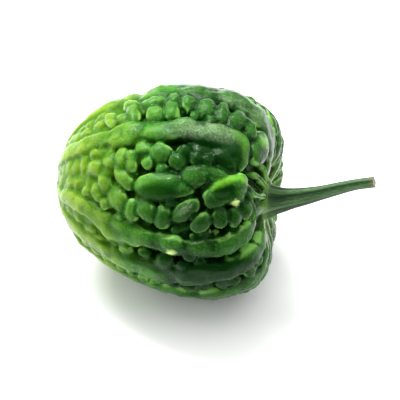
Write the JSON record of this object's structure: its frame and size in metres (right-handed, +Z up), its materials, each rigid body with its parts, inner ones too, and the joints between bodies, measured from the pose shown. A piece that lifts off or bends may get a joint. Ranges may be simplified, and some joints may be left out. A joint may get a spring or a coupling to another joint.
{
  "type": "bitter gourd",
  "caption": "Short stubby bitter gourd lying on its side, with broken lengthwise ridges, rows of rounded warts between them and a ribbed, cut stem.",
  "frame": {"origin": "centre of the bounding box, on the surface that the gourd lies on", "axes": "+X runs along the fruit toward the stem, +Y to the side that faces away, +Z up"},
  "size_m": [0.1476, 0.0986, 0.0968],
  "materials": {
    "fruit_skin": "waxy green vegetable skin, yellow-green at the blossom tip and dark green toward the stem, with a soft satin sheen",
    "stem_skin": "ribbed grey-green stem with a dull, slightly fibrous surface"
  },
  "bodies": {
    "root": {"fruit": "fruit_skin", "stem": "stem_skin"}
  },
  "joints": []
}
